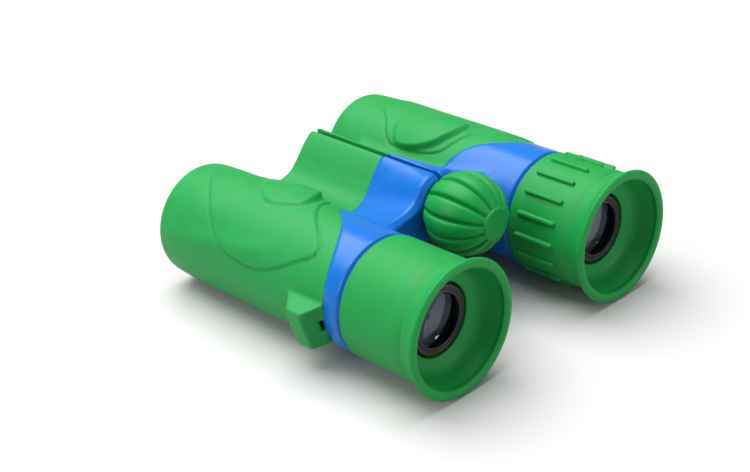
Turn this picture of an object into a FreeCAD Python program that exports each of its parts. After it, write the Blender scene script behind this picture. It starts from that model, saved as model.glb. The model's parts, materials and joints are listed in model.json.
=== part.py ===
"""Compact roof-prism binoculars: two barrels on one central hinge, a ball-shaped focus knob that slides
both objectives, a turning dioptre eyepiece on the right, and rubber armour over hard housings.

Units are millimetres. +X is the user's right, +Y is the way the binoculars look, +Z is up. The origin is
the middle of the footprint on the table. A station is a distance forward from the eyecups' rear end, and
a level is a height above the two barrel axes.
"""
import FreeCAD
import Part
import math
import os
from FreeCAD import Vector

# Driving dimensions
LENGTH = 104.0              # eyecup rim to front lip
AXIS_SPACING = 67.0         # between the barrel axes, fully open
HINGE_LEVEL = 11.5          # hinge axis above the barrel axes
RIM_R = 19.5                # eyecup rolled rim

BARREL_X = AXIS_SPACING / 2
HINGE_TO_BARREL = math.hypot(BARREL_X, HINGE_LEVEL)
SIDES = (("left", -1), ("right", 1))
RUN = 0.05                  # radial clearance of a running or sliding fit
SEAT = 0.02                 # radial clearance of a glued or pressed seat
PAST = 1.0                  # how far a cutting shape goes past the face that it cuts

# Stations of the shell
CUP_FRONT = 28.0
COLLAR_REAR = 28.2
ARM_REAR = 37.7
ARM_FRONT = 89.1
HOUSING_FRONT = 101.0

# Barrel radii
TUBE_R = 15.2               # hard tube under the armour
CAVITY_R = 13.6
NECK_R = 13.9
NECK_BORE_R = 10.2
NECK_REAR = 14.0
CAVITY_REAR = 32.0
LIP_BORE_R = 13.9           # opening of the armour's front lip

# Hinge
SLIT = 1.5                  # gap between the two arms at the top
ARM_SKIN = 1.5              # rubber thickness on the arm
SKIN_LEVEL = 6.0            # the arm has no rubber below this
KNUCKLE_R = 5.0
KNUCKLE_CLEAR_R = 5.3
AXLE_R = 3.3
AXLE_BORE_R = 2.5
AXLE_FLANGE_R = 4.1
KNUCKLES = {-1: ((ARM_REAR, 46.0), (74.9, ARM_FRONT)), 1: ((46.3, 52.4), (68.6, 74.6))}
WASHERS = (46.15, 74.75)    # middles of the gaps between knuckles
CHAMBER = (52.4, 68.6)      # between the right knuckles, where the focus yokes slide
REAR_POCKET = (4.2, 39.2)   # radius and depth station of the recess for the axle's flange
FRONT_POCKET = (4.4, 85.0)  # radius and depth station of the recess for the axle screw and cap
BOTTOM_GAP_DEG = 30.0       # each arm stops this far short of straight below the hinge

# Focus drive
FOCUS_TRAVEL = 2.4          # either way from the middle
SCREW_R = 1.6
NUT = (53.1, 60.1)
KEY_STATION = 56.6
KEY_R = 0.6
EARS = ((55.6, 57.6), (62.4, 64.4))
RING = (57.8, 62.2)
EAR_R = 4.7
YOKE_H = 4.4
YOKE_ROOM = 0.8             # free height above and below a yoke
TONGUE = (58.4, 61.8)

# Focus knob
KNOB_STATION = 29.0
KNOB_R = 11.9
KNOB_FRONT = 36.9
KNOB_REAR = 17.9
KNOB_CAP = (4.1, 19.4)      # radius and front station
KNOB_GROOVES = 12
GROOVE_R = 1.1
HUB_R = 4.6

# Eyepieces
OCULAR_REAR = 9.9
OCULAR_FRONT = 30.4
OCULAR_BORE_R = 9.0
LENS_GAP = 0.05
RETAINER_REAR = 8.6
SLEEVE_R = 15.4
SLEEVE_REAR = 10.5
SLEEVE_HOLE_R = 10.6
RIB_COUNT = 17
RIB_REAR, RIB_FRONT = 11.5, 25.0
RIB_W = 1.5
RIB_TOP_R = 18.4

# Dioptre drive
DIOPTRE_TRAVEL = 1.2        # either way from the middle
DIOPTRE_TURN_DEG = 45.0
PIN_STATION = 19.6
PIN_R = 0.7
PIN_TOP_R = 14.8
PIN_ROOM = 0.1
CAM_R = 1.1
CAM_STEPS = 18
SNAP = (25.5, 26.3)

# Objective
CELL = (56.6, 96.0)
CELL_BORE_R = 12.0
CELL_BODY_R = 13.0
BEZEL_BORE_R = 12.2

# Prisms
CAGE = (32.0, 53.8)
PRISM_HALF_W = 6.5
ROOF_LINE = ((33.0, 8.5), (45.0, 3.5))

# Strap lug
LUG_DROP_DEG = 13.0
LUG_OUT_R = 22.5
LUG_HALF_W = 6.5
LUG_REAR = 37.0             # at its outer end
LUG_REAR_BASE = 34.0        # at the barrel: the rear face slants
LUG_FRONT_TOP = 42.2
LUG_FRONT_BASE = 46.8
SLOT_OUT_R = 17.9
SLOT_W = 3.4
SLOT_FRONT = 48.6


def at(x, station, level):
    return Vector(x, station - LENGTH / 2, level + RIM_R)


FORWARD = Vector(0, 1, 0)


def wire(points, place):
    """A closed wire. An entry is (a, b) for a straight run to it, or (am, bm, a, b) for an arc through
    (am, bm). place turns (a, b) into a point in space."""
    ends = [place(p[-2], p[-1]) for p in points]
    edges = []
    for i, p in enumerate(points):
        if len(p) == 4:
            edges.append(Part.Arc(ends[i - 1], place(p[0], p[1]), ends[i]).toShape())
        else:
            edges.append(Part.LineSegment(ends[i - 1], ends[i]).toShape())
    return Part.Wire(edges)


def turned(outline, x, level=0.0):
    """A solid of revolution about the axis at (x, level), from an outline of (station, radius)."""
    face = Part.Face(wire(outline, lambda s, r: at(x, s, level + r)))
    return face.revolve(at(x, 0, level), FORWARD, 360)


def rod(x, level, radius, rear, front):
    return Part.makeCylinder(radius, front - rear, at(x, rear, level), FORWARD)


def ring(x, level, outer, inner, rear, front):
    return rod(x, level, outer, rear, front).cut(rod(x, level, inner, rear - PAST, front + PAST))


def box(x0, x1, s0, s1, l0, l1):
    return Part.makeBox(x1 - x0, s1 - s0, l1 - l0, at(x0, s0, l0))


def slab(outline, x0, x1):
    """A (station, level) outline extruded from x0 to x1."""
    face = Part.Face(wire(outline, lambda s, l: at(x0, s, l)))
    return face.extrude(Vector(x1 - x0, 0, 0))


def fuse(shapes):
    return shapes[0].multiFuse(shapes[1:]).removeSplitter()


def turn_about(shape, x, level, degrees):
    copy = shape.copy()
    copy.rotate(at(x, 0, level), FORWARD, degrees)
    return copy


# Outer form

# An arm's top line as (distance from the hinge plane, level): thin at the front, and fuller at the rear,
# where the arm runs into the barrel's collar.
ARM_TOP_FRONT = ((SLIT / 2, 20.8), (1.9, 20.4), (3.4, 19.2), (5.6, 16.9), (8.0, 14.0), (10.4, 11.5),
                 (13.5, 10.1), (18.0, 9.8), (26.0, 9.8))
ARM_TOP_REAR = ((SLIT / 2, 20.9), (2.5, 21.0), (4.2, 20.8), (6.8, 19.0), (9.0, 16.0), (11.8, 14.3),
                (15.5, 13.5), (20.0, 13.0), (26.0, 12.6))
ARM_BOTTOM = ((26.0, -2.4), (18.0, -2.0), (9.0, 1.4))
ARM_INNER_REACH = 7.6       # from the hinge axis to the arm's lowest inner corner
BLEND_FRONT = 60.0          # forward of this station the arm keeps its front section

# Where the rubber ends, seen from above: (distance outward from the barrel axis, station).
ARMOUR_EDGE = ((60.0, 33.4), (17.2, 34.0), (12.2, 35.4), (6.4, 38.2), (0.0, 42.9), (-5.9, 49.6),
               (-11.0, 53.6), (-18.0, 56.4), (-BARREL_X, 59.3), (-BARREL_X - 5.0, 60.0))


def closed_wire(curve, corners):
    """A closed wire of a spline and the straight runs through the corners, which start at the spline's end
    and finish at its start."""
    runs = [Part.LineSegment(a, b).toShape() for a, b in zip(corners, corners[1:])]
    return Part.Wire([curve.toShape()] + runs)


def spline(points):
    curve = Part.BSplineCurve()
    curve.interpolate(points)
    return curve


def arm_wire(side, station, top_line, drop):
    """One section of the arm. drop lowers the top line by the rubber's thickness."""
    top = [at(side * u, station, level - drop) for u, level in top_line]
    lower = [at(side * u, station, level) for u, level in ARM_BOTTOM]
    gap = math.radians(BOTTOM_GAP_DEG)
    corner_out, corner_drop = ARM_INNER_REACH * math.sin(gap), ARM_INNER_REACH * math.cos(gap)
    corner = at(side * corner_out, station, HINGE_LEVEL - corner_drop)
    edge = at(side * SLIT / 2, station, HINGE_LEVEL)
    return closed_wire(spline(top), [top[-1]] + lower + [corner, edge, top[0]])


def arm_solid(side, drop=0.0):
    front = [arm_wire(side, BLEND_FRONT, ARM_TOP_FRONT, drop), arm_wire(side, ARM_FRONT, ARM_TOP_FRONT, drop)]
    rear = [arm_wire(side, ARM_REAR, ARM_TOP_REAR, drop), arm_wire(side, BLEND_FRONT, ARM_TOP_FRONT, drop)]
    return fuse([Part.makeLoft(rear, True, True), Part.makeLoft(front, True, True)])


def barrel_solid(side):
    outline = [(COLLAR_REAR, 0.0), (COLLAR_REAR, 16.6), (28.6, 17.0), (34.0, 17.2), (50.0, 17.5),
               (72.0, 17.4), (100.6, 16.9), (103.2, 16.2, LENGTH, 14.6), (LENGTH, 0.0)]
    return turned(outline, side * BARREL_X)


def armour_region(side):
    """Everything forward of the line where the rubber ends."""
    below, depth, ahead, beside = -40.0, 90.0, 140.0, 60.0
    edge = [at(side * (BARREL_X + u), s, below) for u, s in ARMOUR_EDGE]
    far = [at(side * -5.0, ahead, below), at(side * (BARREL_X + beside), ahead, below)]
    outline = closed_wire(spline(edge), [edge[-1]] + far + [edge[0]])
    return Part.Face(outline).extrude(Vector(0, 0, depth))


def lug_point(side, radius, tangent, station):
    """A point in the strap lug's own directions: radius is outward, and tangent is upward."""
    a = math.radians(LUG_DROP_DEG)
    x = side * (BARREL_X + radius * math.cos(a) + tangent * math.sin(a))
    return at(x, station, tangent * math.cos(a) - radius * math.sin(a))


def lug_slab(side, profile, width):
    """A (radius, station) profile extruded evenly about the lug's middle plane."""
    face = Part.Face(wire(profile, lambda r, s: lug_point(side, r, -width / 2, s)))
    return face.extrude(lug_point(side, 0, width, 0) - lug_point(side, 0, 0, 0))


def lug_block(side):
    profile = [(15.6, LUG_REAR_BASE), (15.6, LUG_FRONT_BASE), (17.0, LUG_FRONT_BASE),
               (LUG_OUT_R, LUG_FRONT_TOP), (LUG_OUT_R, LUG_REAR)]
    return lug_slab(side, profile, 2 * LUG_HALF_W)


def lug_slot(side):
    rear = LUG_REAR_BASE - PAST
    profile = [(14.0, rear), (14.0, SLOT_FRONT), (SLOT_OUT_R, SLOT_FRONT), (SLOT_OUT_R, rear)]
    return lug_slab(side, profile, SLOT_W)


def cross_bar(side, height, rear, front, near, far):
    """A bar along the line from the hinge axis to the barrel axis, between two distances from the hinge."""
    along = Vector(side * BARREL_X, 0, -HINGE_LEVEL)
    along.normalize()
    across = Vector(side * HINGE_LEVEL, 0, BARREL_X)
    across.normalize()
    start = at(0, rear, HINGE_LEVEL) + along * near - across * (height / 2)
    length = along * (far - near)
    rise = across * height
    face = Part.Face(Part.makePolygon([start, start + length, start + length + rise, start + rise, start]))
    return face.extrude(Vector(0, front - rear, 0))


# Shells

def yoke_pocket(side):
    """The way for a focus yoke from the hinge into the barrel."""
    reach = HINGE_TO_BARREL - CAVITY_R + PAST
    return cross_bar(side, YOKE_H + 2 * YOKE_ROOM, CHAMBER[0], CHAMBER[1], KNUCKLE_R - PAST, reach)


def knuckle(side, rear, front):
    """A hinge knuckle with the web that ties it to its arm."""
    web = arm_solid(side, ARM_SKIN).common(rod(0, HINGE_LEVEL, KNUCKLE_CLEAR_R + 0.2, rear, front))
    return fuse([rod(0, HINGE_LEVEL, KNUCKLE_R, rear, front), web])


def housing(side):
    """Hard shell: barrel tube, rear neck, collar, and the arm with its hinge knuckles."""
    x = side * BARREL_X
    rear_form = barrel_solid(side).fuse(arm_solid(side)).cut(armour_region(side))
    core = arm_solid(side, ARM_SKIN).common(arm_solid(side))
    body = fuse([rear_form, core, rod(x, 0, TUBE_R, COLLAR_REAR, HOUSING_FRONT),
                 rod(x, 0, NECK_R, NECK_REAR, COLLAR_REAR + PAST)])
    body = body.cut(rod(0, HINGE_LEVEL, KNUCKLE_CLEAR_R, ARM_REAR - PAST, ARM_FRONT + PAST))
    body = fuse([body] + [knuckle(side, rear, front) for rear, front in KNUCKLES[side]])
    clearance = SEAT if side < 0 else RUN
    body = body.cut(rod(0, HINGE_LEVEL, AXLE_R + clearance, ARM_REAR - PAST, ARM_FRONT + PAST))
    body = body.cut(rod(x, 0, CAVITY_R, CAVITY_REAR, HOUSING_FRONT + PAST))
    body = body.cut(rod(x, 0, NECK_BORE_R, NECK_REAR - PAST, CAVITY_REAR + PAST))
    body = body.cut(yoke_pocket(side))
    if side < 0:
        body = body.cut(rod(0, HINGE_LEVEL, REAR_POCKET[0], ARM_REAR - PAST, REAR_POCKET[1]))
        return body.cut(rod(0, HINGE_LEVEL, FRONT_POCKET[0], FRONT_POCKET[1], ARM_FRONT + PAST))
    half = PIN_R + PIN_ROOM
    reach = DIOPTRE_TRAVEL + half
    body = body.cut(box(x - half, x + half, PIN_STATION - reach, PIN_STATION + reach, 9.0, 15.0))
    return body.cut(ring(x, 0, NECK_R + PAST, 13.2, SNAP[0] - 0.05, SNAP[1] + 0.05))


def armour(side):
    """Rubber skin: the barrel's sleeve with its front lip and strap lug, and the cover of the arm's top."""
    x = side * BARREL_X
    outer = barrel_solid(side).fuse(arm_solid(side)).fuse(lug_block(side)).common(armour_region(side))
    low_part = arm_solid(side).common(box(-AXIS_SPACING, AXIS_SPACING, 0, LENGTH, -RIM_R, SKIN_LEVEL))
    body = outer.cut(fuse([arm_solid(side, ARM_SKIN), low_part]))
    body = body.cut(rod(x, 0, TUBE_R, COLLAR_REAR - PAST, HOUSING_FRONT))
    body = body.cut(rod(x, 0, LIP_BORE_R, HOUSING_FRONT - PAST, LENGTH + PAST))
    return body.cut(lug_slot(side)).cut(yoke_pocket(side))


def objective_bezel(side):
    outline = [(99.0, BEZEL_BORE_R), (99.0, CAVITY_R - SEAT), (HOUSING_FRONT, CAVITY_R - SEAT),
               (HOUSING_FRONT, LIP_BORE_R - RUN), (102.6, LIP_BORE_R - RUN), (103.0, 13.4),
               (103.0, BEZEL_BORE_R)]
    return turned(outline, side * BARREL_X)


# Eyepieces

def eyecup_outline():
    bore = SLEEVE_R + SEAT
    return [(CUP_FRONT, bore), (CUP_FRONT, 17.1), (CUP_FRONT - 0.4, 17.4), (5.6, 17.4),
            (3.2, 17.8, 1.7, 19.1), (0.8, RIM_R, 0.0, 18.5), (0.3, 17.0, 1.2, 16.0), (6.8, 14.4),
            (8.8, SLEEVE_HOLE_R), (SLEEVE_REAR - SEAT, SLEEVE_HOLE_R), (SLEEVE_REAR - SEAT, bore)]


def eyecup(side):
    x = side * BARREL_X
    body = turned(eyecup_outline(), x)
    if side < 0:
        return body
    rib = box(x - RIB_W / 2, x + RIB_W / 2, RIB_REAR, RIB_FRONT, 16.6, RIB_TOP_R)
    return fuse([body] + [turn_about(rib, x, 0, 360.0 * i / RIB_COUNT) for i in range(RIB_COUNT)])


def sleeve(side):
    """The hard ring under an eyecup: glued on the left, and the turning dioptre ring on the right."""
    x = side * BARREL_X
    bore = NECK_R + (SEAT if side < 0 else RUN)
    body = turned([(SLEEVE_REAR, SLEEVE_HOLE_R), (SLEEVE_REAR, SLEEVE_R), (CUP_FRONT, SLEEVE_R),
                   (CUP_FRONT, bore), (12.2, bore), (12.2, SLEEVE_HOLE_R)], x)
    if side < 0:
        return body
    body = body.cut(ring(x, 0, 14.5, 13.0, SNAP[0] - 0.05, SNAP[1] + 0.05))
    depth = 5.0
    floor = PIN_TOP_R + PIN_ROOM - depth
    for i in range(CAM_STEPS + 1):
        share = 2.0 * i / CAM_STEPS - 1.0
        spot = Part.makeCylinder(CAM_R, depth, at(x, PIN_STATION + share * DIOPTRE_TRAVEL, floor))
        body = body.cut(turn_about(spot, x, 0, -share * DIOPTRE_TURN_DEG))
    return body


def ocular_barrel(side):
    x = side * BARREL_X
    outer = NECK_BORE_R - (SEAT if side < 0 else RUN)
    body = turned([(OCULAR_REAR, OCULAR_BORE_R), (OCULAR_REAR, outer), (OCULAR_FRONT, outer),
                   (OCULAR_FRONT, 7.6), (28.0, 7.6), (28.0, OCULAR_BORE_R)], x)
    return body if side < 0 else body.cut(dioptre_key())


def ocular_retainer(side):
    spigot = OCULAR_BORE_R - SEAT
    outline = [(RETAINER_REAR, 7.7), (RETAINER_REAR, 9.7), (8.9, 10.0), (OCULAR_REAR, 10.0),
               (OCULAR_REAR, spigot), (10.3, spigot), (10.3, 8.2), (9.4, 7.7)]
    return turned(outline, side * BARREL_X)


def ocular_spacer(side):
    return ring(side * BARREL_X, 0, OCULAR_BORE_R - SEAT, 8.1, 13.65, 24.85)


def dioptre_key():
    return Part.makeCylinder(PIN_R, PIN_TOP_R - 9.1, at(BARREL_X, PIN_STATION, 9.1))


def dioptre_snap_ring():
    """A wire ring in the neck's groove that keeps the dioptre ring from sliding off."""
    body = ring(BARREL_X, 0, 14.4, 13.3, SNAP[0], SNAP[1])
    return body.cut(box(BARREL_X - 2.0, BARREL_X + 2.0, SNAP[0] - PAST, SNAP[1] + PAST, -16.0, -12.0))


# Lenses and prisms

def sag_point(vertex, edge, edge_r):
    """The point halfway out on a spherical surface between its vertex and its edge."""
    sag = edge - vertex
    curve_r = (edge_r ** 2 + sag ** 2) / (2 * sag)
    half = math.copysign(math.sqrt(curve_r ** 2 - edge_r ** 2 / 4), curve_r)
    return vertex + curve_r - half, edge_r / 2


def lens(side, edge_r, rear, front):
    """A lens whose rear and front surfaces are each (vertex station, edge station)."""
    rear_mid = sag_point(rear[0], rear[1], edge_r)
    front_mid = sag_point(front[0], front[1], edge_r)
    outline = [(rear[0], 0.0), rear_mid + (rear[1], edge_r), (front[1], edge_r), front_mid + (front[0], 0.0)]
    return turned(outline, side * BARREL_X)


CEMENTED = (88.6, 90.4)


def eye_lens(side):
    return lens(side, OCULAR_BORE_R - LENS_GAP, (9.6, 10.62), (14.4, 13.4))


def field_lens(side):
    return lens(side, OCULAR_BORE_R - LENS_GAP, (23.6, 25.2), (27.8, 27.98))


def crown_lens(side):
    return lens(side, CELL_BORE_R - LENS_GAP, CEMENTED, (93.7, 92.4))


def flint_lens(side):
    return lens(side, CELL_BORE_R - LENS_GAP, (87.6, 87.22), CEMENTED)


def roof_prism(side):
    """Schmidt prism: exit face to the eye, 45 degree apex at the bottom, and a roof on the top."""
    x = side * BARREL_X
    half = PRISM_HALF_W - SEAT
    (s0, l0), (s1, l1) = ROOF_LINE
    body = slab([(s0, l0), (s1, l1), (s0, -8.5)], x - half, x + half)
    along = Vector(0, s1 - s0, l1 - l0)
    across = Vector(0, l1 - l0, s0 - s1)
    across.normalize()
    start = at(x, s0, l0) - along
    eaves = start + across * half
    deep = start + across * 40.0
    wide = Vector(half + 0.5, 0, 0)
    low = across * 0.5
    house = Part.makePolygon([start, eaves + wide + low, deep + wide, deep - wide, eaves - wide + low, start])
    return body.common(Part.Face(house).extrude(along * 3))


PENTA_OUTLINE = ((50.0, 7.7), (50.0, -6.5), (39.6, -10.8), (36.3, -6.0))


def penta_prism(side):
    x = side * BARREL_X
    half = PRISM_HALF_W - SEAT
    return slab(PENTA_OUTLINE, x - half, x + half)


def prism_cage(side):
    """A moulded block whose pocket, open at the top, takes both prisms."""
    x = side * BARREL_X
    pocket = [(33.0, 15.0), (33.0, -8.8), (36.2, -6.1), (39.5, -10.9), (50.05, -6.6), (50.05, 15.0)]
    body = rod(x, 0, CAVITY_R - SEAT, CAGE[0], CAGE[1]).cut(slab(pocket, x - PRISM_HALF_W, x + PRISM_HALF_W))
    body = body.cut(rod(x, 0, 6.0, CAGE[0] - PAST, 33.5))
    return body.cut(rod(x, 0, 6.4, 49.0, CAGE[1] + PAST))


def prism_clip(side):
    """A leaf spring that bears on both prisms and hooks under the pocket's ends."""
    x = side * BARREL_X
    upper = [(33.05, 12.3), (34.0, 12.3), (40.6, 6.5), (48.6, 8.2), (49.3, 12.3), (50.0, 12.3)]
    lower = [(50.0, 11.8), (49.6, 11.8), (48.9, 7.75), (40.5, 5.95), (33.8, 11.8), (33.05, 11.8)]
    return slab(upper + lower, x - 2.5, x + 2.5)


# Objectives and their drive

def objective_cell(side):
    slide_r = CAVITY_R - RUN
    body = turned([(CELL[0], CELL_BORE_R), (CELL[0], slide_r), (63.4, slide_r), (63.4, CELL_BODY_R),
                   (86.0, CELL_BODY_R), (86.0, slide_r), (CELL[1], slide_r), (CELL[1], CELL_BORE_R),
                   (87.2, CELL_BORE_R), (87.2, 10.8), (86.2, 10.8), (86.2, CELL_BORE_R)], side * BARREL_X)
    tongue = cross_bar(side, YOKE_H, TONGUE[0], TONGUE[1], 10.0, HINGE_TO_BARREL - CELL_BORE_R - 0.5)
    return body.cut(tongue).cut(yoke_screw(side))


def lens_retainer(side):
    return ring(side * BARREL_X, 0, CELL_BORE_R - SEAT, 10.9, 92.7, 94.4)


def yoke_screw(side):
    """A short screw from inside the cell into the yoke's tongue."""
    along = Vector(-side * BARREL_X, 0, HINGE_LEVEL)
    along.normalize()
    middle = sum(TONGUE) / 2
    head = Part.makeCylinder(1.5, 0.9, at(side * BARREL_X, middle, 0) + along * 11.2, along)
    shank = Part.makeCylinder(0.8, 5.0, at(side * BARREL_X, middle, 0) + along * 12.0, along)
    return fuse([head, shank])


def yoke(side):
    """Left: two ears on the axle. Right: one ring, held between those ears."""
    parts = []
    for rear, front in EARS if side < 0 else (RING,):
        parts.append(rod(0, HINGE_LEVEL, EAR_R, rear, front))
        parts.append(cross_bar(side, YOKE_H, rear, front, 2.0, 10.0))
    span = (EARS[0][0], EARS[1][1]) if side < 0 else RING
    parts.append(cross_bar(side, YOKE_H, span[0], span[1], 6.5, 16.0))
    parts.append(cross_bar(side, YOKE_H, TONGUE[0], TONGUE[1], 15.0, HINGE_TO_BARREL - CELL_BORE_R - 0.5))
    body = fuse(parts).cut(rod(0, HINGE_LEVEL, AXLE_R + RUN, span[0] - PAST, span[1] + PAST))
    body = body.cut(yoke_screw(side))
    return body.cut(nut_keys()) if side < 0 else body


def nut_keys():
    """Two pegs that tie the nut to the left yoke through the axle's slots."""
    pegs = [Part.makeCylinder(KEY_R, 2.5, at(0, KEY_STATION, HINGE_LEVEL + start)) for start in (1.9, -4.4)]
    return Part.makeCompound(pegs)


def focus_nut():
    return ring(0, HINGE_LEVEL, AXLE_BORE_R - RUN, SCREW_R + RUN, NUT[0], NUT[1]).cut(nut_keys())


def hinge_axle():
    """A tube through all the knuckles. Its slots let the nut's pegs reach the left yoke."""
    body = fuse([rod(0, HINGE_LEVEL, AXLE_R, REAR_POCKET[1] - 1.3, FRONT_POCKET[1] - 0.1),
                 rod(0, HINGE_LEVEL, AXLE_FLANGE_R, REAR_POCKET[1] - 1.4, REAR_POCKET[1])])
    body = body.cut(rod(0, HINGE_LEVEL, AXLE_BORE_R, ARM_REAR - PAST, ARM_FRONT))
    reach = FOCUS_TRAVEL + KEY_R + 0.3
    half = KEY_R + 0.1
    low, high = HINGE_LEVEL - KNUCKLE_R, HINGE_LEVEL + KNUCKLE_R
    return body.cut(box(-half, half, KEY_STATION - reach, KEY_STATION + reach, low, high))


def axle_screw():
    """Pulls the knuckles together. A coin slot in its head sets the hinge's stiffness."""
    body = fuse([rod(0, HINGE_LEVEL, AXLE_BORE_R - SEAT, 77.0, 86.0),
                 rod(0, HINGE_LEVEL, 4.1, FRONT_POCKET[1], 86.7)])
    return body.cut(box(-0.5, 0.5, 86.0, 88.0, HINGE_LEVEL - 5, HINGE_LEVEL + 5))


def hinge_cap():
    radius = FRONT_POCKET[0] - SEAT
    outline = [(87.0, 0.0), (87.0, radius), (88.6, radius), (88.95, 4.0), (89.05, 0.0)]
    return turned(outline, 0, HINGE_LEVEL)


def hinge_washers():
    return Part.makeCompound([ring(0, HINGE_LEVEL, 4.8, AXLE_R + SEAT, m - 0.13, m + 0.13) for m in WASHERS])


def focus_screw():
    body = fuse([rod(0, HINGE_LEVEL, SCREW_R, 24.0, 66.4), rod(0, HINGE_LEVEL, 2.3, 41.2, 42.4)])
    return body.cut(rod(0, HINGE_LEVEL, 0.97, 24.0 - PAST, 30.0))


def screw_bush():
    return ring(0, HINGE_LEVEL, AXLE_BORE_R - SEAT, SCREW_R + RUN, 38.0, 41.0)


def wave_washer():
    return ring(0, HINGE_LEVEL, 3.4, SCREW_R + RUN, 37.0, 37.6)


def knob_hub():
    body = rod(0, HINGE_LEVEL, HUB_R - SEAT, KNOB_CAP[1] + 0.1, KNOB_FRONT)
    body = body.cut(rod(0, HINGE_LEVEL, 2.6, KNOB_CAP[1], 22.2))
    body = body.cut(rod(0, HINGE_LEVEL, 1.1, 21.0, 25.0))
    return body.cut(rod(0, HINGE_LEVEL, SCREW_R + SEAT, 24.0, KNOB_FRONT + PAST))


def knob_grip():
    """The fluted ball."""
    offset = KNOB_STATION - KNOB_REAR
    rear_r = math.sqrt(KNOB_R ** 2 - offset ** 2)
    front_r = math.sqrt(KNOB_R ** 2 - (KNOB_FRONT - KNOB_STATION) ** 2)
    cap_bore = KNOB_CAP[0] + SEAT
    outline = [(KNOB_REAR, cap_bore), (KNOB_REAR, rear_r), (KNOB_STATION, KNOB_R, KNOB_FRONT, front_r),
               (KNOB_FRONT, HUB_R), (KNOB_CAP[1], HUB_R), (KNOB_CAP[1], cap_bore)]
    body = turned(outline, 0, HINGE_LEVEL)
    groove = Part.makeTorus(KNOB_R + 0.35, GROOVE_R, at(0, KNOB_STATION, HINGE_LEVEL), Vector(1, 0, 0))
    for i in range(KNOB_GROOVES // 2):
        body = body.cut(turn_about(groove, 0, HINGE_LEVEL, 360.0 * i / KNOB_GROOVES))
    return body


def knob_cap():
    return rod(0, HINGE_LEVEL, KNOB_CAP[0], KNOB_REAR - 0.2, KNOB_CAP[1])


def knob_screw():
    body = fuse([rod(0, HINGE_LEVEL, 2.2, 20.6, 22.2), rod(0, HINGE_LEVEL, 0.95, 22.0, 29.0)])
    return body.cut(box(-0.35, 0.35, 20.0, 21.3, HINGE_LEVEL - 3, HINGE_LEVEL + 3))


PER_SIDE = (housing, armour, objective_bezel, eyecup, ocular_barrel, ocular_retainer, eye_lens, field_lens,
            ocular_spacer, crown_lens, flint_lens, roof_prism, penta_prism, prism_cage, prism_clip,
            objective_cell, lens_retainer, yoke_screw, yoke)
CENTRE = (hinge_axle, axle_screw, hinge_cap, hinge_washers, screw_bush, focus_screw, focus_nut, nut_keys,
          wave_washer, knob_hub, knob_grip, knob_screw, knob_cap, dioptre_key, dioptre_snap_ring)


def build():
    """Every piece by its node's name."""
    made = {make.__name__: make() for make in CENTRE}
    for word, side in SIDES:
        for make in PER_SIDE:
            made[word + "_" + make.__name__] = make(side)
    made["left_cup_sleeve"] = sleeve(-1)
    made["dioptre_ring"] = sleeve(1)
    return made


def main():
    os.makedirs("parts", exist_ok=True)
    for node, shape in build().items():
        shape.exportStep("parts/" + node + ".step")
        print(node, len(shape.Solids), shape.isValid(), round(shape.Volume, 1))


main()
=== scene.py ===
import json
import math
import bmesh
import bpy
import numpy as np
from mathutils import Matrix, Vector


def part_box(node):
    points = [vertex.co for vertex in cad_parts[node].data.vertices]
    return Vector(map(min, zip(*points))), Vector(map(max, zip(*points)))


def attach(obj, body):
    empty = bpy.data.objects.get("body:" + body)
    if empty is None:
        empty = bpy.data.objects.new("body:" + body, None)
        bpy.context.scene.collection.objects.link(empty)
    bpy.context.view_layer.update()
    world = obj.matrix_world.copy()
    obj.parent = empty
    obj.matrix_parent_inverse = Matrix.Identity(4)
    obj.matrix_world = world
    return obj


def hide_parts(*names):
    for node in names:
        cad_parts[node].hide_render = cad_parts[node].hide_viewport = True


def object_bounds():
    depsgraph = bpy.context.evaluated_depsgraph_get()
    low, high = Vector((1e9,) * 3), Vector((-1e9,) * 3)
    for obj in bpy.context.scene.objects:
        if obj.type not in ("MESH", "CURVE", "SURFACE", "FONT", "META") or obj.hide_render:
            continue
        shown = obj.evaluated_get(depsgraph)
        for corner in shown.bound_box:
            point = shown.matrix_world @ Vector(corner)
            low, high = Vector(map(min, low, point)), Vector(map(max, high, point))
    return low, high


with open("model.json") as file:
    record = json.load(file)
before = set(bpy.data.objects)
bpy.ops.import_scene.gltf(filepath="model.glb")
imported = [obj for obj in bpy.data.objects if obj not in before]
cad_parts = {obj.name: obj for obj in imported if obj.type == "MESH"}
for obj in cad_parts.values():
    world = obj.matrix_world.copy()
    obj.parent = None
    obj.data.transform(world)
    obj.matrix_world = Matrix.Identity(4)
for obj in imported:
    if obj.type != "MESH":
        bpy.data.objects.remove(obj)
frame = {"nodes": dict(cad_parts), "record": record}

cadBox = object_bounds()
nodes = frame["nodes"]
mm = 0.001
sides = (("left", -1), ("right", 1))
print("stage: frame loaded,", len(nodes), "nodes")


# places, in millimetres: stations run forward from the eyecups' rear end, levels up from the barrel axes

cupLow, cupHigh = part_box("right_eyecup")
axleLow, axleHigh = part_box("hinge_axle")
barrelX = (cupLow.x + cupHigh.x) / 2 / mm
rimR = (cupHigh.z - cupLow.z) / 2 / mm
axisZ = (cupLow.z + cupHigh.z) / 2 / mm
rearY = cupLow.y / mm
hingeLevel = (axleLow.z + axleHigh.z) / 2 / mm - axisZ
length = (cadBox[1][1] - cadBox[0][1]) / mm


def place(points):  # points (x, station, level) in millimetres become places in the frame's metres
    out = np.asarray(points, dtype=float) * mm
    return out + np.array([0.0, rearY, axisZ]) * mm


# camera, floor and light

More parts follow.
